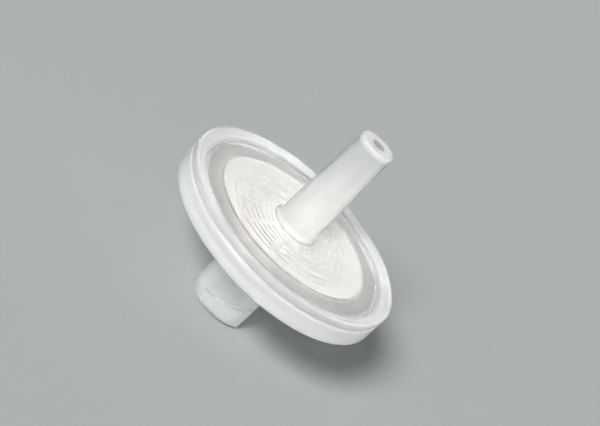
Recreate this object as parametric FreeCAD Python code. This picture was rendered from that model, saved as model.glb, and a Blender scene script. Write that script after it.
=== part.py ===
import FreeCAD, Part
import math
import os

# Syringe filter: two moulded polypropylene housings, welded at the rim, that clamp a
# membrane disc between them.  A tapered socket with locking lugs leads in, and a tapered
# nozzle leads out.  All sizes are in millimetres.
#
# Frame: the origin is the centre of the socket's open end, which the filter stands on.
# +Z runs along the axis of flow, from the socket to the tip of the nozzle.

# Cones of both fittings: six per cent on the diameter, so three on the radius.
CONE_SLOPE = 0.03

# Inlet socket
SOCKET_OUTER_DIAMETER = 6.72
SOCKET_MOUTH_DIAMETER = 4.29
SOCKET_MOUTH_CHAMFER = 0.15
SOCKET_DEPTH = 8.6
SOCKET_LENGTH = 9.54            # open end to the back of the rim
SOCKET_END_ROUND = 0.2
SOCKET_FOOT_ROUND = 0.5
INLET_HOLE_DIAMETER = 2.4

# Locking lugs round the socket: flat below, with a helical upper flank
LUG_COUNT = 2
LUG_OUTER_DIAMETER = 7.8
LUG_FOOT = 0.45                 # open end to the lug's flat side
LUG_START_WIDTH = 1.15          # from the flat side to the flank where the lug starts
LUG_LEAD = 5.0                  # rise of the flank in a whole turn
LUG_SPAN = 88.0                 # degrees
LUG_START_ANGLE = -118.0        # degrees from +X
LUG_CORNER_ROUND = 0.3

# Rim
RIM_DIAMETER = 26.0
RIM_LOWER_HEIGHT = 2.26         # back of the rim to the seam
RIM_UPPER_HEIGHT = 0.8          # seam to the crest of the bead
RIM_WALL = 1.35
RIM_EDGE_ROUND = 0.12
SEAM_GROOVE_DEPTH = 0.28
SEAM_GROOVE_HEIGHT = 0.22
BEAD_WIDTH = 0.9
BEAD_TOP_WIDTH = 0.3
BEAD_OUTER_ROUND = 0.22
BEAD_INNER_ROUND = 0.3
BEAD_FOOT_ROUND = 0.3
APRON_WIDTH = 0.9               # sloping ring inside the bead
APRON_RISE = 0.12

# Plates and the weld skirt between them
PLATE_THICKNESS = 0.7
RING_FACE_RISE = 0.33           # seam to the flat ring of the outlet plate inside the apron
CENTRE_DIAMETER = 18.6          # raised centre of the outlet plate, over the membrane
CENTRE_RISE = 0.12              # flat ring to the raised centre
CENTRE_SHOULDER_WIDTH = 0.25
CENTRE_SHOULDER_ROUND = 0.2
SKIRT_CLEARANCE = 0.05
SKIRT_WALL = 0.6
SKIRT_END_GAP = 0.1
BACK_HUB_WIDTH = 1.3            # flat ring round the socket on the back
BACK_SHOULDER_ROUND = 0.2

# Membrane and what holds it
MEMBRANE_DIAMETER = 18.6
MEMBRANE_THICKNESS = 0.15
CLAMP_WIDTH = 1.75              # ring of the outlet housing that presses on the edge
SEAT_MARGIN = 0.6               # inlet seat beyond the edge of the membrane

# Flow channels
OUTLET_CHANNEL_DEPTH = 0.25
INLET_CHANNEL_DEPTH = 0.3
RING_PITCH = 0.75
RING_WIDTH = 0.3
FIRST_RING_RADIUS = 3.05
RING_MINIMUM_GAP = 0.2
BRANCH_RADIUS = 4.2             # outside it the radial channels are twice as many
CHANNEL_COUNT = 6
CHANNEL_WIDTH = 0.6
INLET_RIB_COUNT = 8
INLET_RIB_WIDTH = 0.5
INLET_RIB_START = 2.4           # radius at which the inlet ribs start
RIB_ROOT = 0.1                  # how deep a rib's root is fused into its plate

# Outlet nozzle
NOZZLE_TIP_DIAMETER = 3.97
NOZZLE_LENGTH = 12.32           # raised centre of the plate to the tip
NOZZLE_TIP_ROUND = 0.2
NOZZLE_FOOT_ROUND = 0.5
NOZZLE_BORE_TIP_DIAMETER = 1.3
NOZZLE_BORE_ROOT_DIAMETER = 2.0

# Heights, from the open end of the socket upwards
back_z = SOCKET_LENGTH
seam_z = back_z + RIM_LOWER_HEIGHT
crest_z = seam_z + RIM_UPPER_HEIGHT
ring_face_z = seam_z + RING_FACE_RISE
face_z = ring_face_z + CENTRE_RISE
roof_z = face_z - PLATE_THICKNESS
membrane_top_z = roof_z - OUTLET_CHANNEL_DEPTH
membrane_bottom_z = membrane_top_z - MEMBRANE_THICKNESS
floor_z = membrane_bottom_z - INLET_CHANNEL_DEPTH
back_plate_z = floor_z - PLATE_THICKNESS
tip_z = face_z + NOZZLE_LENGTH

# Radii, from the rim inwards
rim_r = RIM_DIAMETER / 2
bead_inner_r = rim_r - BEAD_WIDTH
apron_inner_r = bead_inner_r - APRON_WIDTH
centre_r = CENTRE_DIAMETER / 2
rim_bore_r = rim_r - RIM_WALL
skirt_outer_r = rim_bore_r - SKIRT_CLEARANCE
skirt_inner_r = skirt_outer_r - SKIRT_WALL
membrane_r = MEMBRANE_DIAMETER / 2
clamp_inner_r = membrane_r - CLAMP_WIDTH
seat_outer_r = membrane_r + SEAT_MARGIN
socket_r = SOCKET_OUTER_DIAMETER / 2
hub_r = socket_r + BACK_HUB_WIDTH


def rounded_wire(corners):
    """Closed wire in the XZ plane through corners (radius, height, rounding).

    A rounded corner gets a tangent arc, which is kept to half of each side that it joins.
    """
    points = [FreeCAD.Vector(radius, 0, height) for radius, height, _ in corners]
    ends = []
    edges = []
    for index, (_, _, rounding) in enumerate(corners):
        corner = points[index]
        back = points[index - 1] - corner
        ahead = points[(index + 1) % len(points)] - corner
        half_angle = back.getAngle(ahead) / 2
        reach = min(rounding / math.tan(half_angle), back.Length / 2, ahead.Length / 2)
        back.normalize()
        ahead.normalize()
        first = corner + back * reach
        last = corner + ahead * reach
        ends.append((first, last))
        if reach > 0:
            inward = back + ahead
            inward.normalize()
            radius = reach * math.tan(half_angle)
            middle = corner + inward * (radius / math.sin(half_angle) - radius)
            edges.append(Part.Arc(first, middle, last).toShape())
    for index, (_, last) in enumerate(ends):
        first = ends[(index + 1) % len(ends)][0]
        if (first - last).Length > 1e-6:
            edges.append(Part.LineSegment(last, first).toShape())
    return Part.Wire(Part.__sortEdges__(edges))


def turned(corners):
    """Solid of revolution about Z of a closed outline."""
    face = Part.Face(rounded_wire(corners))
    return face.revolve(FreeCAD.Vector(0, 0, 0), FreeCAD.Vector(0, 0, 1), 360)


def polar(radius, degrees, height=0.0):
    """Point at a radius, an angle from +X and a height."""
    angle = math.radians(degrees)
    return FreeCAD.Vector(radius * math.cos(angle), radius * math.sin(angle), height)


def ring_sector(inner_r, outer_r, bottom_z, top_z, start, end):
    """Upright piece of a ring between two angles in degrees."""
    middle = (start + end) / 2
    outline = [
        Part.Arc(polar(outer_r, start, bottom_z), polar(outer_r, middle, bottom_z),
                 polar(outer_r, end, bottom_z)).toShape(),
        Part.LineSegment(polar(outer_r, end, bottom_z), polar(inner_r, end, bottom_z)).toShape(),
        Part.Arc(polar(inner_r, end, bottom_z), polar(inner_r, middle, bottom_z),
                 polar(inner_r, start, bottom_z)).toShape(),
        Part.LineSegment(polar(inner_r, start, bottom_z), polar(outer_r, start, bottom_z)).toShape(),
    ]
    return Part.Face(Part.Wire(outline)).extrude(FreeCAD.Vector(0, 0, top_z - bottom_z))


def helical_cutter(inner_r, outer_r, height, start, span):
    """Rectangle swept up a helix of the lugs' lead: it trims a lug to its helical flank."""
    helix = Part.makeHelix(LUG_LEAD, LUG_LEAD * span / 360, (inner_r + outer_r) / 2)
    outline = Part.makePolygon([
        FreeCAD.Vector(inner_r, 0, 0),
        FreeCAD.Vector(outer_r, 0, 0),
        FreeCAD.Vector(outer_r, 0, height),
        FreeCAD.Vector(inner_r, 0, height),
        FreeCAD.Vector(inner_r, 0, 0),
    ])
    cutter = Part.Wire(helix.Edges).makePipeShell([outline], True, True)
    cutter.rotate(FreeCAD.Vector(0, 0, 0), FreeCAD.Vector(0, 0, 1), start)
    return cutter


def locking_lug(start):
    """One lug on the socket, from its start angle, flat below and helical above."""
    overrun = 12.0
    lug_r = LUG_OUTER_DIAMETER / 2
    root_r = socket_r - RIB_ROOT
    flank_start_z = LUG_FOOT + LUG_START_WIDTH
    rise = LUG_LEAD * (LUG_SPAN + overrun) / 360
    blank = ring_sector(root_r, lug_r, LUG_FOOT, flank_start_z + rise, start, start + LUG_SPAN)
    corners = [edge for edge in blank.Edges
               if abs(edge.BoundBox.ZLength - blank.BoundBox.ZLength) < 1e-6
               and math.hypot(edge.BoundBox.XMin, edge.BoundBox.YMin) > (root_r + lug_r) / 2]
    blank = blank.makeFillet(min(LUG_CORNER_ROUND, lug_r - socket_r), corners)
    cutter = helical_cutter(root_r - 1.0, lug_r + 1.0, rise + 1.0, start - overrun,
                            LUG_SPAN + 2 * overrun)
    cutter.translate(FreeCAD.Vector(0, 0, flank_start_z - LUG_LEAD * overrun / 360))
    return blank.cut(cutter)


def inlet_ribs():
    """Radial ribs on the floor of the inlet chamber, which carry the membrane."""
    ribs = []
    for index in range(INLET_RIB_COUNT):
        rib = Part.makeBox(clamp_inner_r + RIB_ROOT - INLET_RIB_START, INLET_RIB_WIDTH,
                           INLET_CHANNEL_DEPTH + RIB_ROOT,
                           FreeCAD.Vector(INLET_RIB_START, -INLET_RIB_WIDTH / 2, floor_z - RIB_ROOT))
        rib.rotate(FreeCAD.Vector(0, 0, 0), FreeCAD.Vector(0, 0, 1), index * 360 / INLET_RIB_COUNT)
        ribs.append(rib)
    return ribs


def inlet_housing():
    """Socket, back plate and the rim's wall, which the outlet housing is welded onto."""
    mouth_r = SOCKET_MOUTH_DIAMETER / 2
    cone_end_r = mouth_r - CONE_SLOPE * SOCKET_DEPTH
    hole_r = INLET_HOLE_DIAMETER / 2
    hole_top_r = hole_r - CONE_SLOPE * (floor_z - SOCKET_DEPTH)
    groove_r = rim_r - SEAM_GROOVE_DEPTH
    groove_z = seam_z - SEAM_GROOVE_HEIGHT
    recess_outer_r = rim_bore_r
    body = turned([
        (mouth_r + SOCKET_MOUTH_CHAMFER, 0, 0),
        (socket_r, 0, SOCKET_END_ROUND),
        (socket_r, back_z, SOCKET_FOOT_ROUND),
        (hub_r, back_z, BACK_SHOULDER_ROUND),
        (hub_r, back_plate_z, BACK_SHOULDER_ROUND),
        (recess_outer_r, back_plate_z, BACK_SHOULDER_ROUND),
        (recess_outer_r, back_z, BACK_SHOULDER_ROUND),
        (rim_r, back_z, RIM_EDGE_ROUND),
        (rim_r, groove_z, RIM_EDGE_ROUND),
        (groove_r, groove_z, 0),
        (groove_r, seam_z, 0),
        (rim_bore_r, seam_z, 0),
        (rim_bore_r, floor_z, 0),
        (seat_outer_r, floor_z, 0),
        (seat_outer_r, membrane_bottom_z, 0),
        (clamp_inner_r, membrane_bottom_z, 0),
        (clamp_inner_r, floor_z, 0),
        (hole_top_r, floor_z, 0),
        (hole_r, SOCKET_DEPTH, 0),
        (cone_end_r, SOCKET_DEPTH, 0),
        (mouth_r - CONE_SLOPE * SOCKET_MOUTH_CHAMFER, SOCKET_MOUTH_CHAMFER, 0),
    ])
    lugs = [locking_lug(LUG_START_ANGLE + index * 360 / LUG_COUNT) for index in range(LUG_COUNT)]
    return body.fuse(lugs + inlet_ribs()).removeSplitter()


def membrane():
    """The filter disc, clamped at its edge and carried by the ribs of both housings."""
    return Part.makeCylinder(membrane_r, MEMBRANE_THICKNESS, FreeCAD.Vector(0, 0, membrane_bottom_z))


def collecting_rings():
    """Concentric ribs under the outlet plate, broken by radial channels."""
    segments = []
    radius = FIRST_RING_RADIUS
    while radius + RING_WIDTH / 2 + RING_MINIMUM_GAP < clamp_inner_r:
        count = CHANNEL_COUNT if radius < BRANCH_RADIUS else 2 * CHANNEL_COUNT
        pitch = 360 / count
        half_gap = math.degrees(math.asin(CHANNEL_WIDTH / 2 / radius))
        for index in range(count):
            segments.append(ring_sector(
                radius - RING_WIDTH / 2, radius + RING_WIDTH / 2,
                membrane_top_z, roof_z + RIB_ROOT,
                index * pitch + half_gap, (index + 1) * pitch - half_gap))
        radius += RING_PITCH
    return segments


def outlet_housing():
    """Outlet plate with its rim bead, weld skirt, collecting rings and nozzle."""
    tip_r = NOZZLE_TIP_DIAMETER / 2
    root_r = tip_r + CONE_SLOPE * NOZZLE_LENGTH
    bore_tip_r = NOZZLE_BORE_TIP_DIAMETER / 2
    bore_root_r = NOZZLE_BORE_ROOT_DIAMETER / 2
    skirt_end_z = floor_z + SKIRT_END_GAP
    body = turned([
        (bore_root_r, roof_z, 0),
        (clamp_inner_r, roof_z, 0),
        (clamp_inner_r, membrane_top_z, 0),
        (membrane_r, membrane_top_z, 0),
        (membrane_r, roof_z, 0),
        (skirt_inner_r, roof_z, 0),
        (skirt_inner_r, skirt_end_z, 0),
        (skirt_outer_r, skirt_end_z, 0),
        (skirt_outer_r, seam_z, 0),
        (rim_r, seam_z, RIM_EDGE_ROUND),
        (rim_r, crest_z, BEAD_OUTER_ROUND),
        (rim_r - BEAD_TOP_WIDTH, crest_z, BEAD_INNER_ROUND),
        (bead_inner_r, ring_face_z + APRON_RISE, BEAD_FOOT_ROUND),
        (apron_inner_r, ring_face_z, BEAD_INNER_ROUND),
        (centre_r + CENTRE_SHOULDER_WIDTH, ring_face_z, CENTRE_SHOULDER_ROUND),
        (centre_r, face_z, CENTRE_SHOULDER_ROUND),
        (root_r, face_z, NOZZLE_FOOT_ROUND),
        (tip_r, tip_z, NOZZLE_TIP_ROUND),
        (bore_tip_r, tip_z, 0),
    ])
    return body.fuse(collecting_rings()).removeSplitter()


parts = {
    "inlet_housing": inlet_housing(),
    "membrane": membrane(),
    "outlet_housing": outlet_housing(),
}
os.makedirs("parts", exist_ok=True)
for name, shape in parts.items():
    shape.exportStep(f"parts/{name}.step")
    print(name, "solids", len(shape.Solids), "volume mm3", round(shape.Volume, 2), "valid", shape.isValid())
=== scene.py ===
import math
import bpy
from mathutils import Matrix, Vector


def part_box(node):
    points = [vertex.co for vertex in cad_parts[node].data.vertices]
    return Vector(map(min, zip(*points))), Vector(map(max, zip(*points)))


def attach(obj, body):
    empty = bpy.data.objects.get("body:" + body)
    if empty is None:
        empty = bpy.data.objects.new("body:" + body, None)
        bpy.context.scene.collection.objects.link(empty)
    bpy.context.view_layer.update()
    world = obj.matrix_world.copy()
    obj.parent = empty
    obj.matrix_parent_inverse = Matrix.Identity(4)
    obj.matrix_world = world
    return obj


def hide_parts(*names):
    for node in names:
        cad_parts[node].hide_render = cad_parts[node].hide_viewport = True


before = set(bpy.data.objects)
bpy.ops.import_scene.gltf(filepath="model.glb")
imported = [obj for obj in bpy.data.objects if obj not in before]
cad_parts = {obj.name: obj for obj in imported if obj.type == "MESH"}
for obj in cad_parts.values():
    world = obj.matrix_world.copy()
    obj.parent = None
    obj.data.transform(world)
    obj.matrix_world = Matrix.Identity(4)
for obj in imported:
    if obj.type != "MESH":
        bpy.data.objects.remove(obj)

from types import SimpleNamespace

import bmesh
import bpy
from mathutils import Matrix, Vector

bl_info = {
    "name": "Syringe Filter",
    "version": (1, 0, 0),
    "blender": (4, 5, 0),
    "location": "3D View > Sidebar > Filter",
    "description": "Welded syringe filter: two moulded housings with a membrane between them",
    "category": "Object",
}

# The frame: +Z runs along the flow, from the socket's open end at the origin to the nozzle's tip.
MM = 0.001
AXIS = (0.0, 0.0, 1.0)
ORIGIN = (0.0, 0.0, 0.0)
FULL_TURN = 2 * math.pi
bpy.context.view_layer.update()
INLET_LOW, INLET_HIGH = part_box("inlet_housing")
OUTLET_LOW, OUTLET_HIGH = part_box("outlet_housing")
MEMBRANE_LOW, MEMBRANE_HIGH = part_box("membrane")

TURN_STEPS = 240           # faces round a turned piece
ROUNDING_STEPS = 6         # edges along a rounded corner
LUG_STEPS = 24             # faces along a lug
FEWEST_STEPS = 4           # faces along the shortest piece of a ring
MERGE_DISTANCE = 1e-7
ANGLE_TOLERANCE = 1e-3     # radians
SMOOTH_ANGLE = math.radians(32)

# Where the plastic changes between clear and milky, and between smooth and rough.
RING_FADE_INSIDE = 0.2 * MM    # clear ring: from here inside the membrane's edge
RING_FADE_OUTSIDE = 0.1 * MM   # to here outside it
RIM_FADE_START = 1.9 * MM      # rim: from here inside the rim's edge
RIM_FADE_END = 0.9 * MM        # to here inside it
SOCKET_FADE = 0.6 * MM         # socket: down from the back plate
END_FADE = 1.2 * MM            # fittings: the last stretch before the open end, and above the foot
EDGE_FADE = 0.1 * MM           # edges of the bores and of the open ends
FACE_FADE = 0.03 * MM          # just off the outlet plate's face
CHAMBER_FADE = 0.02 * MM       # just behind the chamber's walls

POLYPROPYLENE_IOR = 1.49
SCATTER_REACH = 1.0 * MM       # how far light spreads inside the milky plastic

FLOOR_SIZE = 6.0               # metres
VIEW_DEPTH = 20.0              # metres
SENSOR_WIDTH = 36.0            # millimetres


# ---------------------------------------------------------------- settings

def length(name, description, default):
    return bpy.props.FloatProperty(name=name, description=description, default=default, min=0.0,
                                   precision=5, unit="LENGTH", subtype="DISTANCE")


def offset(name, description, default):
    return bpy.props.FloatProperty(name=name, description=description, default=default,
                                   precision=6, unit="LENGTH", subtype="DISTANCE")


def angle(name, description, degrees):
    return bpy.props.FloatProperty(name=name, description=description,
                                   default=math.radians(degrees), unit="ROTATION", subtype="ANGLE")


def share(name, description, default):
    return bpy.props.FloatProperty(name=name, description=description, default=default,
                                   min=0.0, max=1.0, subtype="FACTOR")


def number(name, description, default):
    return bpy.props.FloatProperty(name=name, description=description, default=default, min=0.0)


def count(name, description, default):
    return bpy.props.IntProperty(name=name, description=description, default=default, min=1)


def colour(name, description, default):
    return bpy.props.FloatVectorProperty(name=name, description=description, default=default,
                                         size=3, min=0.0, max=1.0, subtype="COLOR")


class FilterSizes(bpy.types.PropertyGroup):
    """Sizes of the moulded housings and of the membrane."""

    cone_slope: share("Cone slope", "Rise of the radius along both tapered fittings", 0.03)

    socket_diameter: length("Socket diameter", "Outside of the inlet socket", 6.72 * MM)
    socket_mouth: length("Socket mouth", "Inside of the inlet socket at its open end", 4.29 * MM)
    socket_chamfer: length("Socket chamfer", "Bevel of the socket's mouth", 0.15 * MM)
    socket_depth: length("Socket depth", "Depth of the tapered bore", 8.6 * MM)
    socket_length: length("Socket length", "Open end to the back of the rim", 9.54 * MM)
    socket_end_round: length("Socket end round", "Rounding of the socket's open end", 0.2 * MM)
    socket_foot_round: length("Socket foot round", "Fillet at the socket's foot", 0.5 * MM)
    inlet_hole: length("Inlet hole", "Hole from the socket into the chamber", 2.4 * MM)

    lug_count: count("Lugs", "Locking lugs round the socket", 2)
    lug_diameter: length("Lug diameter", "Outside of the locking lugs", 7.8 * MM)
    lug_foot: length("Lug foot", "Socket's open end to the flat side of a lug", 0.45 * MM)
    lug_width: length("Lug width", "Height of a lug where it starts", 1.15 * MM)
    lug_lead: length("Lug lead", "Rise of the upper flank in a whole turn", 5.0 * MM)
    lug_span: angle("Lug span", "Arc that a lug covers", 88.0)
    lug_start: angle("Lug start", "Direction in which the first lug starts", -118.0)
    lug_round: length("Lug round", "Rounding of a lug's upright corners", 0.3 * MM)

    rim_diameter: length("Rim diameter", "Outside of the rim", INLET_HIGH.x - INLET_LOW.x)
    rim_height: length("Rim height", "Seam to the crest of the bead", 0.8 * MM)
    rim_wall: length("Rim wall", "Thickness of the rim's lower wall", 1.35 * MM)
    rim_edge_round: length("Rim edge round", "Rounding of the rim's sharp edges", 0.12 * MM)
    groove_depth: length("Groove depth", "Depth of the groove under the seam", 0.28 * MM)
    groove_height: length("Groove height", "Height of the groove under the seam", 0.22 * MM)
    bead_width: length("Bead width", "Width of the bead at its foot", 0.9 * MM)
    bead_top_width: length("Bead top width", "Width of the bead at its crest", 0.3 * MM)
    bead_outer_round: length("Bead outer round", "Rounding of the bead's outer edge", 0.22 * MM)
    bead_inner_round: length("Bead inner round", "Rounding of the bead's inner edge", 0.3 * MM)
    bead_foot_round: length("Bead foot round", "Hollow where the bead meets the apron", 0.3 * MM)
    apron_width: length("Apron width", "Width of the sloping ring inside the bead", 0.9 * MM)
    apron_rise: length("Apron rise", "Height of the sloping ring at the bead", 0.12 * MM)

    plate: length("Plate", "Thickness of both plates", 0.7 * MM)
    ring_face_rise: length("Ring face rise", "Seam to the flat ring inside the apron", 0.33 * MM)
    centre_diameter: length("Centre diameter", "Raised centre of the outlet plate", 18.6 * MM)
    centre_rise: length("Centre rise", "Flat ring to the raised centre", 0.12 * MM)
    centre_shoulder: length("Centre shoulder", "Width of the slope up to the centre", 0.25 * MM)
    centre_round: length("Centre round", "Rounding of that slope at both ends", 0.2 * MM)
    skirt_clearance: length("Skirt clearance", "Gap between the weld skirt and the rim", 0.05 * MM)
    skirt_wall: length("Skirt wall", "Thickness of the weld skirt", 0.6 * MM)
    hub_width: length("Hub width", "Flat ring round the socket on the back", 1.3 * MM)
    shoulder_round: length("Shoulder round", "Rounding of the steps on the back", 0.2 * MM)
    weld_gap: length("Weld gap", "Hairline between pieces that are pressed together", 0.01 * MM)

    clamp_width: length("Clamp width", "Ring that presses on the membrane's edge", 1.75 * MM)
    seat_margin: length("Seat margin", "Inlet seat beyond the membrane's edge", 0.6 * MM)
    ring_pitch: length("Ring pitch", "Distance between the collecting rings", 0.75 * MM)
    ring_width: length("Ring width", "Width of a collecting ring", 0.3 * MM)
    first_ring: length("First ring", "Radius of the innermost collecting ring", 3.05 * MM)
    ring_gap: length("Ring gap", "Least gap between the last ring and the clamp", 0.2 * MM)
    branch_radius: length("Branch radius", "Outside it the radial channels double", 4.2 * MM)
    channel_count: count("Channels", "Radial channels near the nozzle", 6)
    channel_width: length("Channel width", "Width of a radial channel", 0.6 * MM)
    rib_count: count("Inlet ribs", "Radial ribs on the floor of the chamber", 8)
    rib_width: length("Rib width", "Width of an inlet rib", 0.5 * MM)
    rib_start: length("Rib start", "Radius at which the inlet ribs start", 2.4 * MM)
    rib_root: length("Rib root", "Depth of a rib's root in its plate", 0.1 * MM)
    inlet_channel: length("Inlet channel", "Floor of the chamber to the membrane", 0.3 * MM)

    tip_diameter: length("Tip diameter", "Outside of the nozzle at its tip", 3.97 * MM)
    tip_round: length("Tip round", "Rounding of the nozzle's tip", 0.2 * MM)
    nozzle_foot_round: length("Nozzle foot round", "Fillet at the nozzle's foot", 0.5 * MM)
    bore_tip: length("Bore at tip", "Bore of the nozzle at its tip", 1.3 * MM)
    bore_root: length("Bore at root", "Bore of the nozzle at the plate", 2.0 * MM)


class FilterFinish(bpy.types.PropertyGroup):
    """Colours and finish of the two materials."""

    plastic: colour("Polypropylene", "Colour of the natural polypropylene", (0.992, 0.994, 0.975))
    outlet_milk: share("Milky outlet plate", "How cloudy the plate over the membrane is", 0.1)
    inlet_milk: share("Milky inlet plate", "How cloudy the plate under the membrane is", 0.3)
    ring_milk: share("Milky ring", "How cloudy both plates are outside the membrane", 0.05)
    rim_milk: share("Milky rim", "How cloudy the inlet housing's rim is", 0.38)
    bead_milk: share("Milky bead", "How cloudy the outlet housing's rim is", 0.3)
    nozzle_milk: share("Milky nozzle", "How cloudy the nozzle is", 0.16)
    socket_milk: share("Milky socket", "How cloudy the socket is", 0.3)
    foot_milk: share("Milky foot", "How cloudy the fillet at the nozzle's foot is", 0.17)
    end_milk: share("Milky ends", "How cloudy the fittings are at their open ends", 0.36)
    outer_roughness: share("Outer roughness", "Roughness of the polished outside", 0.13)
    inner_roughness: share("Inner roughness", "Roughness of the chamber's walls", 0.5)
    membrane: colour("Membrane", "Colour of the membrane", (0.965, 0.945, 0.90))


class FilterStage(bpy.types.PropertyGroup):
    """Camera, lights and floor."""

    backdrop: colour("Backdrop", "Colour of the floor and of the world", (0.40, 0.43, 0.42))
    studio: colour("Studio", "Colour of the room that the gloss mirrors", (1.0, 1.0, 1.0))
    through: colour("Through", "Colour of the room that clear plastic shows", (0.58, 0.63, 0.605))
    floor_glow: share("Floor glow", "How far gloss and clear plastic see an unshaded floor", 0.5)
    elevation: angle("Elevation", "Camera above the horizon", 23.66)
    roll: angle("Roll", "Turn of the camera about its own view", 45.89)
    distance: length("Distance", "Camera to the middle of the seam", 146.5 * MM)
    slide_x: offset("Slide across", "Middle of the seam right of the picture's centre", -0.723 * MM)
    slide_y: offset("Slide up", "Middle of the seam above the picture's centre", -1.538 * MM)
    lens: number("Lens", "Focal length in millimetres on a 36 mm sensor", 87.26)
    key_strength: number("Key strength", "Strength of the key light", 4.2)
    fill_strength: number("Fill strength", "Strength of the broad light from the right", 0.6)
    edge_strength: number("Edge strength", "Strength of the low light from the right", 1.9)
    left_strength: number("Left strength", "Strength of the low light from the left", 0.6)
    sky_strength: number("Sky strength", "Strength of the even light from all sides", 0.31)


def derived(sizes):
    """Heights and radii that follow from the sizes and from the frame."""
    seam_z = INLET_HIGH.z
    ring_face_z = seam_z + sizes.ring_face_rise
    face_z = ring_face_z + sizes.centre_rise
    floor_z = MEMBRANE_LOW.z - sizes.inlet_channel
    rim_r = sizes.rim_diameter / 2
    bore_r = rim_r - sizes.rim_wall
    membrane_r = MEMBRANE_HIGH.x
    return SimpleNamespace(
        back_z=sizes.socket_length,
        seam_z=seam_z,
        crest_z=seam_z + sizes.rim_height,
        ring_face_z=ring_face_z,
        face_z=face_z,
        roof_z=face_z - sizes.plate,
        membrane_top_z=MEMBRANE_HIGH.z,
        membrane_bottom_z=MEMBRANE_LOW.z,
        floor_z=floor_z,
        back_plate_z=floor_z - sizes.plate,
        tip_z=OUTLET_HIGH.z,
        skirt_end_z=OUTLET_LOW.z,
        rim_r=rim_r,
        bead_inner_r=rim_r - sizes.bead_width,
        apron_inner_r=rim_r - sizes.bead_width - sizes.apron_width,
        centre_r=sizes.centre_diameter / 2,
        rim_bore_r=bore_r,
        skirt_outer_r=bore_r - sizes.skirt_clearance,
        skirt_inner_r=bore_r - sizes.skirt_clearance - sizes.skirt_wall,
        membrane_r=membrane_r,
        clamp_inner_r=membrane_r - sizes.clamp_width,
        seat_outer_r=membrane_r + sizes.seat_margin,
        socket_r=sizes.socket_diameter / 2,
        hub_r=sizes.socket_diameter / 2 + sizes.hub_width,
    )


# ---------------------------------------------------------------- modelling

def clear_selection():
    """Deselects every object, with none left active."""
    for obj in list(bpy.context.selected_objects):
        obj.select_set(False)
    bpy.context.view_layer.objects.active = None


def select_all():
    bpy.ops.mesh.select_all(action="SELECT")


def pick(piece, wanted):
    """In edit mode, selects the vertices whose places pass a test, and what lies between them."""
    mesh = bmesh.from_edit_mesh(piece.data)
    for vertex in mesh.verts:
        vertex.select = wanted(vertex.co)
    mesh.select_flush_mode()
    bmesh.update_edit_mesh(piece.data)


def near(*places):
    """Test for vertices that lie at one of some places."""
    return lambda co: any((co - place).length < MERGE_DISTANCE for place in places)


def start_piece(name, place):
    """New piece in edit mode, with one vertex at a place: a plane merged to its middle."""
    clear_selection()
    bpy.ops.mesh.primitive_plane_add(size=MM, location=place)
    piece = bpy.context.object
    piece.name = name
    piece.data.name = name
    bpy.ops.object.transform_apply(location=True, rotation=True, scale=True)
    bpy.ops.object.mode_set(mode="EDIT")
    bpy.ops.mesh.select_mode(type="VERT")
    select_all()
    bpy.ops.mesh.merge(type="CENTER")
    return piece


def extrude(step):
    """Extrudes what is selected by a step."""
    bpy.ops.mesh.extrude_region_move(TRANSFORM_OT_translate={"value": step})


def round_corner(piece, corner, before, after, rounding):
    """Rounds a corner of the outline, by at most half of each side that it joins."""
    back = before - corner
    ahead = after - corner
    half_angle = back.angle(ahead) / 2
    reach = min(rounding / math.tan(half_angle), back.length / 2, ahead.length / 2)
    pick(piece, near(corner))
    bpy.ops.mesh.bevel(offset_type="OFFSET", offset=reach, segments=ROUNDING_STEPS, profile=0.5,
                       affect="VERTICES")


def outline(name, corners):
    """Closed outline in the XZ plane, through corners (radius, height, rounding)."""
    places = [Vector((radius, 0, height)) for radius, height, _ in corners]
    piece = start_piece(name, places[0])
    for here, there in zip(places, places[1:]):
        extrude(there - here)
    pick(piece, near(places[0], places[-1]))
    bpy.ops.mesh.edge_face_add()
    for index, (_, _, rounding) in enumerate(corners):
        if rounding > 0:
            round_corner(piece, places[index], places[index - 1],
                         places[(index + 1) % len(places)], rounding)
    select_all()
    return piece


def tidy_mesh():
    """Closes seams and turns the faces outwards, then leaves edit mode."""
    select_all()
    bpy.ops.mesh.remove_doubles(threshold=MERGE_DISTANCE)
    bpy.ops.mesh.normals_make_consistent(inside=False)
    bpy.ops.object.mode_set(mode="OBJECT")


def turned(name, corners):
    """Solid of revolution about Z of a closed outline."""
    piece = outline(name, corners)
    bpy.ops.mesh.spin(steps=TURN_STEPS, angle=FULL_TURN, center=ORIGIN, axis=AXIS)
    tidy_mesh()
    return piece


def fuse(piece, tool):
    """Joins a tool's solids to a piece with a union, and removes the tool."""
    clear_selection()
    piece.select_set(True)
    bpy.context.view_layer.objects.active = piece
    bpy.ops.object.modifier_add(type="BOOLEAN")
    union = piece.modifiers[-1]
    union.operation = "UNION"
    union.solver = "EXACT"
    union.object = tool
    bpy.ops.object.modifier_apply(modifier=union.name)
    bpy.data.objects.remove(tool)


def finish_piece(piece, node, material):
    """Smooths a finished piece, gives it its material and ties it to the frame."""
    clear_selection()
    piece.select_set(True)
    bpy.context.view_layer.objects.active = piece
    bpy.ops.object.shade_smooth_by_angle(angle=SMOOTH_ANGLE)
    piece.data.materials.clear()
    piece.data.materials.append(material)
    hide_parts(node)
    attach(piece, "root")


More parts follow.
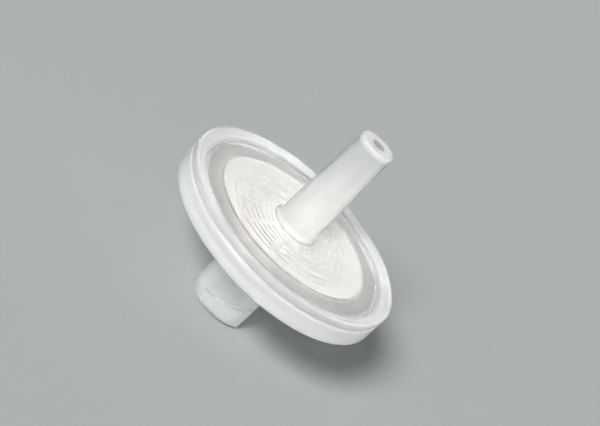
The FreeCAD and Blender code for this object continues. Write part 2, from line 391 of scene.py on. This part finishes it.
def lugs(sizes, place):
    """Locking lugs: flat below, with a helical upper flank and rounded ends."""
    inner_r = place.socket_r - sizes.rib_root
    outer_r = sizes.lug_diameter / 2
    side_r = outer_r - 10 * MERGE_DISTANCE
    piece = start_piece("lugs", (inner_r, 0, sizes.lug_foot))
    extrude((outer_r - inner_r, 0, 0))
    select_all()
    extrude((0, 0, sizes.lug_width))
    select_all()
    bpy.ops.mesh.spin(steps=LUG_STEPS, angle=-sizes.lug_span, center=ORIGIN, axis=AXIS)
    middle_z = sizes.lug_foot + sizes.lug_width / 2
    for step in range(1, LUG_STEPS + 1):
        turn = sizes.lug_span * step / LUG_STEPS
        pick(piece, lambda co: co.z > middle_z
             and abs(math.atan2(co.y, co.x) - turn) < ANGLE_TOLERANCE)
        bpy.ops.transform.translate(value=(0, 0, sizes.lug_lead * turn / FULL_TURN))
    select_all()
    bpy.ops.mesh.remove_doubles(threshold=MERGE_DISTANCE)
    bpy.ops.mesh.normals_make_consistent(inside=False)
    for end in (0.0, sizes.lug_span):
        pick(piece, lambda co: math.hypot(co.x, co.y) > side_r
             and abs(math.atan2(co.y, co.x) - end) < ANGLE_TOLERANCE)
        bpy.ops.mesh.bevel(offset=sizes.lug_round, segments=ROUNDING_STEPS, affect="EDGES")
    select_all()
    bpy.ops.mesh.spin(steps=sizes.lug_count, angle=FULL_TURN, center=ORIGIN, axis=AXIS, dupli=True)
    tidy_mesh()
    piece.data.transform(Matrix.Rotation(sizes.lug_start, 4, "Z"))
    return piece


def inlet_ribs(sizes, place):
    """Radial ribs on the floor of the chamber."""
    bottom_z = place.floor_z - sizes.rib_root
    reach = place.clamp_inner_r + sizes.rib_root - sizes.rib_start
    top_z = place.membrane_bottom_z - sizes.weld_gap
    piece = start_piece("inlet_ribs", (sizes.rib_start, -sizes.rib_width / 2, bottom_z))
    extrude((reach, 0, 0))
    select_all()
    extrude((0, sizes.rib_width, 0))
    select_all()
    extrude((0, 0, top_z - bottom_z))
    select_all()
    bpy.ops.mesh.spin(steps=sizes.rib_count, angle=FULL_TURN, center=ORIGIN, axis=AXIS, dupli=True)
    tidy_mesh()
    return piece


def ring_segments(name, sizes, place, radius, pieces_round):
    """One collecting ring, broken by radial channels."""
    bottom_z = place.membrane_top_z + sizes.weld_gap
    top_z = place.roof_z + sizes.rib_root
    half_gap = math.asin(sizes.channel_width / 2 / radius)
    span = FULL_TURN / pieces_round - 2 * half_gap
    piece = start_piece(name, (radius - sizes.ring_width / 2, 0, bottom_z))
    extrude((sizes.ring_width, 0, 0))
    select_all()
    extrude((0, 0, top_z - bottom_z))
    select_all()
    steps = max(FEWEST_STEPS, round(TURN_STEPS * span / FULL_TURN))
    bpy.ops.mesh.spin(steps=steps, angle=-span, center=ORIGIN, axis=AXIS)
    tidy_mesh()
    piece.data.transform(Matrix.Rotation(half_gap, 4, "Z"))
    bpy.ops.object.mode_set(mode="EDIT")
    select_all()
    bpy.ops.mesh.spin(steps=pieces_round, angle=FULL_TURN, center=ORIGIN, axis=AXIS, dupli=True)
    tidy_mesh()
    return piece


# ---------------------------------------------------------------- materials

def new_material(name):
    """New node material, with its nodes, its links and its shader."""
    material = bpy.data.materials.new(name)
    material.use_nodes = True
    nodes = material.node_tree.nodes
    return material, nodes, material.node_tree.links, nodes["Principled BSDF"]


def calculate(nodes, links, operation, *values):
    """Math node on numbers and sockets."""
    node = nodes.new("ShaderNodeMath")
    node.operation = operation
    for socket, value in zip(node.inputs, values):
        if isinstance(value, (int, float)):
            socket.default_value = value
        else:
            links.new(value, socket)
    return node.outputs[0]


def fade(nodes, links, value, low, high, at_low=0.0, at_high=1.0):
    """Smooth change from one value at low to another at high."""
    node = nodes.new("ShaderNodeMapRange")
    node.interpolation_type = "SMOOTHSTEP"
    links.new(value, node.inputs["Value"])
    node.inputs["From Min"].default_value = low
    node.inputs["From Max"].default_value = high
    node.inputs["To Min"].default_value = at_low
    node.inputs["To Max"].default_value = at_high
    return node.outputs["Result"]


def product(nodes, links, *values):
    """Product of several sockets and numbers."""
    result = values[0]
    for value in values[1:]:
        result = calculate(nodes, links, "MULTIPLY", result, value)
    return result


def radius_and_height(nodes, links):
    """Sockets with the distance from the axis and the height, from Object coordinates."""
    coordinates = nodes.new("ShaderNodeTexCoord")
    split = nodes.new("ShaderNodeSeparateXYZ")
    links.new(coordinates.outputs["Object"], split.inputs[0])
    square_x = product(nodes, links, split.outputs["X"], split.outputs["X"])
    square_y = product(nodes, links, split.outputs["Y"], split.outputs["Y"])
    square = calculate(nodes, links, "ADD", square_x, square_y)
    return calculate(nodes, links, "SQRT", square), split.outputs["Z"]


def soft_noise(nodes, links, scale, detail=2.0):
    """Noise on Object coordinates."""
    coordinates = nodes.new("ShaderNodeTexCoord")
    noise = nodes.new("ShaderNodeTexNoise")
    noise.inputs["Scale"].default_value = scale
    noise.inputs["Detail"].default_value = detail
    links.new(coordinates.outputs["Object"], noise.inputs["Vector"])
    return noise


def mottle(nodes, links, shader, tone, noise, darkest):
    """Base colour that a noise darkens a little, down to a share of the tone."""
    tint = nodes.new("ShaderNodeMix")
    tint.data_type = "RGBA"
    tint.inputs["A"].default_value = (*tone, 1)
    tint.inputs["B"].default_value = (*(channel * darkest for channel in tone), 1)
    links.new(noise.outputs["Fac"], tint.inputs["Factor"])
    links.new(tint.outputs["Result"], shader.inputs["Base Color"])


def roughen(nodes, links, shader, noise, strength, depth):
    """Fine bump from a noise."""
    bump = nodes.new("ShaderNodeBump")
    bump.inputs["Strength"].default_value = strength
    bump.inputs["Distance"].default_value = depth
    links.new(noise.outputs["Fac"], bump.inputs["Height"])
    links.new(bump.outputs["Normal"], shader.inputs["Normal"])


def cloudiness(nodes, links, radius, height, finish, place, plate_milk, rim_milk, fitting):
    """How milky the plastic is: the milkiest of the regions that a point lies in."""
    outward = 1 if fitting.end_z > fitting.plate_z else -1
    in_ring = fade(nodes, links, radius, place.membrane_r - RING_FADE_INSIDE,
                   place.membrane_r + RING_FADE_OUTSIDE)
    off_ring = calculate(nodes, links, "SUBTRACT", 1.0, in_ring)
    in_rim = fade(nodes, links, radius, place.rim_r - RIM_FADE_START, place.rim_r - RIM_FADE_END)
    off_bore = fade(nodes, links, radius, fitting.bore_r, fitting.bore_r + EDGE_FADE)

    above_plate = fade(nodes, links, height, fitting.plate_z, fitting.foot_z)
    in_plate = calculate(nodes, links, "SUBTRACT", 1.0, above_plate)
    off_plate = fade(nodes, links, height, fitting.plate_z, fitting.plate_z + outward * FACE_FADE)
    near_foot = fade(nodes, links, height, fitting.foot_z, fitting.foot_z + outward * END_FADE,
                     at_low=1.0, at_high=0.0)
    near_end = fade(nodes, links, height, fitting.end_z - outward * END_FADE,
                    fitting.end_z - outward * EDGE_FADE)
    regions = (
        (in_ring, finish.ring_milk),
        (in_rim, rim_milk),
        (product(nodes, links, above_plate, off_bore), fitting.milk),
        (product(nodes, links, off_plate, off_ring, near_foot), fitting.foot_milk),
        (product(nodes, links, near_end, off_bore), finish.end_milk),
    )
    milky = product(nodes, links, in_plate, off_ring, plate_milk)
    for region, milk in regions:
        milky = calculate(nodes, links, "MAXIMUM", milky, product(nodes, links, region, milk))
    return milky


def on_chamber_walls(nodes, links, radius, height, place):
    """1 on the walls of the chamber round the membrane, 0 on the outside of the housings."""
    above_floor = fade(nodes, links, height, place.floor_z - 2 * CHAMBER_FADE,
                       place.floor_z - CHAMBER_FADE)
    below_roof = fade(nodes, links, height, place.roof_z + CHAMBER_FADE,
                      place.roof_z + 2 * CHAMBER_FADE, at_low=1.0, at_high=0.0)
    within_skirt = fade(nodes, links, radius, place.skirt_inner_r,
                        place.skirt_inner_r + CHAMBER_FADE, at_low=1.0, at_high=0.0)
    return product(nodes, links, above_floor, below_roof, within_skirt)


def polypropylene(name, finish, place, plate_milk, rim_milk, fitting):
    """Natural polypropylene: clear in the thin plates, milky in the rim and in the fitting."""
    material, nodes, links, shader = new_material(name)
    radius, height = radius_and_height(nodes, links)
    clouds = soft_noise(nodes, links, scale=260.0, detail=3.0)
    mottle(nodes, links, shader, finish.plastic, clouds, darkest=0.995)
    milky = cloudiness(nodes, links, radius, height, finish, place, plate_milk, rim_milk, fitting)
    clear = calculate(nodes, links, "SUBTRACT", 1.0, milky)
    links.new(clear, shader.inputs["Transmission Weight"])

    inside = on_chamber_walls(nodes, links, radius, height, place)
    roughness = calculate(nodes, links, "MULTIPLY_ADD", inside,
                          finish.inner_roughness - finish.outer_roughness, finish.outer_roughness)
    links.new(roughness, shader.inputs["Roughness"])
    grain = soft_noise(nodes, links, scale=3000.0)
    roughen(nodes, links, shader, grain, strength=0.05, depth=0.02 * MM)
    shader.inputs["IOR"].default_value = POLYPROPYLENE_IOR
    shader.inputs["Subsurface Weight"].default_value = 1.0
    shader.inputs["Subsurface Radius"].default_value = (1.0, 1.0, 1.0)
    shader.inputs["Subsurface Scale"].default_value = SCATTER_REACH
    return material


def membrane_film(finish):
    """Membrane: matt white, with a faint fibrous mottle."""
    material, nodes, links, shader = new_material("membrane_film")
    fibres = soft_noise(nodes, links, scale=1500.0, detail=6.0)
    mottle(nodes, links, shader, finish.membrane, fibres, darkest=0.97)
    roughen(nodes, links, shader, fibres, strength=0.2, depth=0.01 * MM)
    shader.inputs["Roughness"].default_value = 0.9
    return material


def floor_paint(stage):
    """Plain matt floor. Gloss and clear plastic see it partly without its shadow."""
    material, nodes, links, shader = new_material("floor_paint")
    mottle(nodes, links, shader, stage.backdrop, soft_noise(nodes, links, scale=30.0), darkest=0.99)
    shader.inputs["Roughness"].default_value = 1.0
    shader.inputs["Specular IOR Level"].default_value = 0.0

    path = nodes.new("ShaderNodeLightPath")
    mirrored = calculate(nodes, links, "MAXIMUM", path.outputs["Is Glossy Ray"],
                         path.outputs["Is Transmission Ray"])
    plain = nodes.new("ShaderNodeEmission")
    plain.inputs["Color"].default_value = (*stage.backdrop, 1)
    mix = nodes.new("ShaderNodeMixShader")
    links.new(product(nodes, links, mirrored, stage.floor_glow), mix.inputs["Fac"])
    links.new(shader.outputs["BSDF"], mix.inputs[1])
    links.new(plain.outputs["Emission"], mix.inputs[2])
    links.new(mix.outputs["Shader"], nodes["Material Output"].inputs["Surface"])
    return material


# ---------------------------------------------------------------- operators

class OBJECT_OT_inlet_housing(bpy.types.Operator):
    """Model the inlet housing: socket with its lugs, back plate and the rim's wall"""

    bl_idname = "object.filter_inlet_housing"
    bl_label = "Inlet Housing"

    def execute(self, context):
        s = context.scene.filter_sizes
        p = derived(s)
        mouth_r = s.socket_mouth / 2
        hole_r = s.inlet_hole / 2
        piece = turned("inlet_housing_moulding", [
            (mouth_r + s.socket_chamfer, 0, 0),
            (p.socket_r, 0, s.socket_end_round),
            (p.socket_r, p.back_z, s.socket_foot_round),
            (p.hub_r, p.back_z, s.shoulder_round),
            (p.hub_r, p.back_plate_z, s.shoulder_round),
            (p.rim_bore_r, p.back_plate_z, s.shoulder_round),
            (p.rim_bore_r, p.back_z, s.shoulder_round),
            (p.rim_r, p.back_z, s.rim_edge_round),
            (p.rim_r, p.seam_z - s.groove_height, s.rim_edge_round),
            (p.rim_r - s.groove_depth, p.seam_z - s.groove_height, 0),
            (p.rim_r - s.groove_depth, p.seam_z, 0),
            (p.rim_bore_r, p.seam_z, 0),
            (p.rim_bore_r, p.floor_z, 0),
            (p.seat_outer_r, p.floor_z, 0),
            (p.seat_outer_r, p.membrane_bottom_z, 0),
            (p.clamp_inner_r, p.membrane_bottom_z, 0),
            (p.clamp_inner_r, p.floor_z, 0),
            (hole_r - s.cone_slope * (p.floor_z - s.socket_depth), p.floor_z, 0),
            (hole_r, s.socket_depth, 0),
            (mouth_r - s.cone_slope * s.socket_depth, s.socket_depth, 0),
            (mouth_r - s.cone_slope * s.socket_chamfer, s.socket_chamfer, 0),
        ])
        fuse(piece, lugs(s, p))
        fuse(piece, inlet_ribs(s, p))
        finish = context.scene.filter_finish
        socket = SimpleNamespace(plate_z=p.back_plate_z, foot_z=p.back_plate_z - SOCKET_FADE,
                                 end_z=0.0, bore_r=mouth_r, milk=finish.socket_milk, foot_milk=0.0)
        plastic = polypropylene("inlet_polypropylene", finish, p, finish.inlet_milk,
                                finish.rim_milk, socket)
        finish_piece(piece, "inlet_housing", plastic)
        return {"FINISHED"}


class OBJECT_OT_membrane(bpy.types.Operator):
    """Model the membrane disc, clamped at its edge between the housings"""

    bl_idname = "object.filter_membrane"
    bl_label = "Membrane"

    def execute(self, context):
        s = context.scene.filter_sizes
        p = derived(s)
        bottom_z = p.membrane_bottom_z + s.weld_gap
        top_z = p.membrane_top_z - s.weld_gap
        piece = start_piece("membrane_disc", (0, 0, bottom_z))
        extrude((p.membrane_r, 0, 0))
        extrude((0, 0, top_z - bottom_z))
        extrude((-p.membrane_r, 0, 0))
        select_all()
        bpy.ops.mesh.spin(steps=TURN_STEPS, angle=FULL_TURN, center=ORIGIN, axis=AXIS)
        tidy_mesh()
        film = membrane_film(context.scene.filter_finish)
        finish_piece(piece, "membrane", film)
        return {"FINISHED"}


class OBJECT_OT_outlet_housing(bpy.types.Operator):
    """Model the outlet housing: plate with its bead, skirt, collecting rings and nozzle"""

    bl_idname = "object.filter_outlet_housing"
    bl_label = "Outlet Housing"

    def execute(self, context):
        s = context.scene.filter_sizes
        p = derived(s)
        tip_r = s.tip_diameter / 2
        root_r = tip_r + s.cone_slope * (p.tip_z - p.face_z)
        clamp_z = p.membrane_top_z + s.weld_gap
        seam_z = p.seam_z + s.weld_gap
        piece = turned("outlet_housing_moulding", [
            (s.bore_root / 2, p.roof_z, 0),
            (p.clamp_inner_r, p.roof_z, 0),
            (p.clamp_inner_r, clamp_z, 0),
            (p.membrane_r, clamp_z, 0),
            (p.membrane_r, p.roof_z, 0),
            (p.skirt_inner_r, p.roof_z, 0),
            (p.skirt_inner_r, p.skirt_end_z, 0),
            (p.skirt_outer_r, p.skirt_end_z, 0),
            (p.skirt_outer_r, seam_z, 0),
            (p.rim_r, seam_z, s.rim_edge_round),
            (p.rim_r, p.crest_z, s.bead_outer_round),
            (p.rim_r - s.bead_top_width, p.crest_z, s.bead_inner_round),
            (p.bead_inner_r, p.ring_face_z + s.apron_rise, s.bead_foot_round),
            (p.apron_inner_r, p.ring_face_z, s.bead_inner_round),
            (p.centre_r + s.centre_shoulder, p.ring_face_z, s.centre_round),
            (p.centre_r, p.face_z, s.centre_round),
            (root_r, p.face_z, s.nozzle_foot_round),
            (tip_r, p.tip_z, s.tip_round),
            (s.bore_tip / 2, p.tip_z, 0),
        ])
        radius = s.first_ring
        while radius + s.ring_width / 2 + s.ring_gap < p.clamp_inner_r:
            branches = 1 if radius < s.branch_radius else 2
            pieces_round = branches * s.channel_count
            fuse(piece, ring_segments("collecting_ring", s, p, radius, pieces_round))
            radius += s.ring_pitch
        finish = context.scene.filter_finish
        nozzle = SimpleNamespace(plate_z=p.face_z, foot_z=p.face_z + s.nozzle_foot_round,
                                 end_z=p.tip_z, bore_r=s.bore_tip / 2 + EDGE_FADE / 2,
                                 milk=finish.nozzle_milk, foot_milk=finish.foot_milk)
        plastic = polypropylene("outlet_polypropylene", finish, p, finish.outlet_milk,
                                finish.bead_milk, nozzle)
        finish_piece(piece, "outlet_housing", plastic)
        return {"FINISHED"}


class SCENE_OT_stage(bpy.types.Operator):
    """Set the floor, the backdrop, the lights and the camera"""

    bl_idname = "scene.filter_stage"
    bl_label = "Stage"

    def execute(self, context):
        stage = context.scene.filter_stage
        self.floor(stage)
        self.world(context, stage)
        self.lamp("key_light", stage.key_strength, heading=251, height=33, width=14)
        fill = self.lamp("fill_light", stage.fill_strength, heading=345, height=45, width=60)
        edge = self.lamp("edge_light", stage.edge_strength, heading=0, height=12, width=40)
        left = self.lamp("left_light", stage.left_strength, heading=190, height=25, width=40)
        self.keep_off_the_floor(fill, edge, left)
        self.camera(context, stage)
        context.scene.view_settings.view_transform = "Standard"
        # Light that has passed through both plates is neither blurred nor cut short.
        context.scene.cycles.blur_glossy = 0.0
        context.scene.cycles.sample_clamp_indirect = 0.0
        return {"FINISHED"}

    def floor(self, stage):
        clear_selection()
        bpy.ops.mesh.primitive_plane_add(size=FLOOR_SIZE, location=ORIGIN)
        floor = bpy.context.object
        floor.name = "floor"
        floor.data.materials.append(floor_paint(stage))

    def world(self, context, stage):
        world = bpy.data.worlds.new("even_light")
        context.scene.world = world
        world.use_nodes = True
        nodes = world.node_tree.nodes
        links = world.node_tree.links
        nodes.clear()
        path = nodes.new("ShaderNodeLightPath")
        sky = nodes.new("ShaderNodeBackground")
        sky.inputs["Color"].default_value = (1, 1, 1, 1)
        sky.inputs["Strength"].default_value = stage.sky_strength
        shown = sky
        # Light that matt surfaces receive comes from the even sky alone.
        straight = calculate(nodes, links, "LESS_THAN", path.outputs["Diffuse Depth"], 0.5)
        for ray, tone in (("Is Glossy Ray", stage.studio),
                          ("Is Transmission Ray", stage.through),
                          ("Is Camera Ray", stage.backdrop)):
            backdrop = nodes.new("ShaderNodeBackground")
            backdrop.inputs["Color"].default_value = (*tone, 1)
            mix = nodes.new("ShaderNodeMixShader")
            links.new(product(nodes, links, path.outputs[ray], straight), mix.inputs["Fac"])
            links.new(shown.outputs[0], mix.inputs[1])
            links.new(backdrop.outputs[0], mix.inputs[2])
            shown = mix
        output = nodes.new("ShaderNodeOutputWorld")
        links.new(shown.outputs[0], output.inputs["Surface"])

    def lamp(self, name, strength, heading, height, width):
        """Sun lamp, with its heading, its height over the floor and its width in degrees."""
        turn = math.radians(heading)
        rise = math.radians(height)
        towards_light = Vector((math.cos(rise) * math.cos(turn), math.cos(rise) * math.sin(turn),
                                math.sin(rise)))
        bpy.ops.object.light_add(type="SUN", location=towards_light)
        lamp = bpy.context.object
        lamp.name = name
        lamp.rotation_euler = towards_light.to_track_quat("Z", "Y").to_euler()
        lamp.data.energy = strength
        lamp.data.angle = math.radians(width)
        return lamp

    def keep_off_the_floor(self, *lamps):
        """Lets lamps light the filter alone, as a flag in front of them would."""
        pieces = bpy.data.collections.new("filter_pieces")
        for name in ("inlet_housing_moulding", "membrane_disc", "outlet_housing_moulding"):
            pieces.objects.link(bpy.data.objects[name])
        for lamp in lamps:
            lamp.light_linking.receiver_collection = pieces

    def camera(self, context, stage):
        seam = Vector((0, 0, INLET_HIGH.z))
        back = Vector((0, -math.cos(stage.elevation), math.sin(stage.elevation)))
        right = Vector((1, 0, 0))
        up = back.cross(right)
        across = math.cos(stage.roll) * right + math.sin(stage.roll) * up
        upward = math.cos(stage.roll) * up - math.sin(stage.roll) * right
        place = seam - stage.slide_x * across - stage.slide_y * upward + stage.distance * back
        bpy.ops.object.camera_add(location=place)
        camera = bpy.context.object
        camera.name = "camera"
        turn = Matrix((across, upward, back)).transposed()
        camera.rotation_euler = turn.to_euler()
        camera.data.lens = stage.lens
        camera.data.sensor_width = SENSOR_WIDTH
        camera.data.clip_start = MM
        camera.data.clip_end = VIEW_DEPTH
        context.scene.camera = camera


class VIEW3D_PT_filter(bpy.types.Panel):
    """Buttons and settings of the filter, in the 3D view's sidebar"""

    bl_label = "Syringe Filter"
    bl_space_type = "VIEW_3D"
    bl_region_type = "UI"
    bl_category = "Filter"

    def draw(self, context):
        layout = self.layout
        for operator in OPERATORS:
            layout.operator(operator.bl_idname)
        for group in ("filter_sizes", "filter_finish", "filter_stage"):
            box = layout.box()
            settings = getattr(context.scene, group)
            for name in settings.__annotations__:
                box.prop(settings, name)


OPERATORS = (OBJECT_OT_inlet_housing, OBJECT_OT_membrane, OBJECT_OT_outlet_housing, SCENE_OT_stage)
GROUPS = {"filter_sizes": FilterSizes, "filter_finish": FilterFinish, "filter_stage": FilterStage}


def register():
    for group in GROUPS.values():
        bpy.utils.register_class(group)
    for name, group in GROUPS.items():
        setattr(bpy.types.Scene, name, bpy.props.PointerProperty(type=group))
    for operator in OPERATORS:
        bpy.utils.register_class(operator)
    bpy.utils.register_class(VIEW3D_PT_filter)


def unregister():
    bpy.utils.unregister_class(VIEW3D_PT_filter)
    for operator in reversed(OPERATORS):
        bpy.utils.unregister_class(operator)
    for name, group in reversed(GROUPS.items()):
        delattr(bpy.types.Scene, name)
        bpy.utils.unregister_class(group)


def main():
    register()
    bpy.ops.object.filter_inlet_housing()
    bpy.ops.object.filter_membrane()
    bpy.ops.object.filter_outlet_housing()
    bpy.ops.scene.filter_stage()


if __name__ == "__main__":
    main()
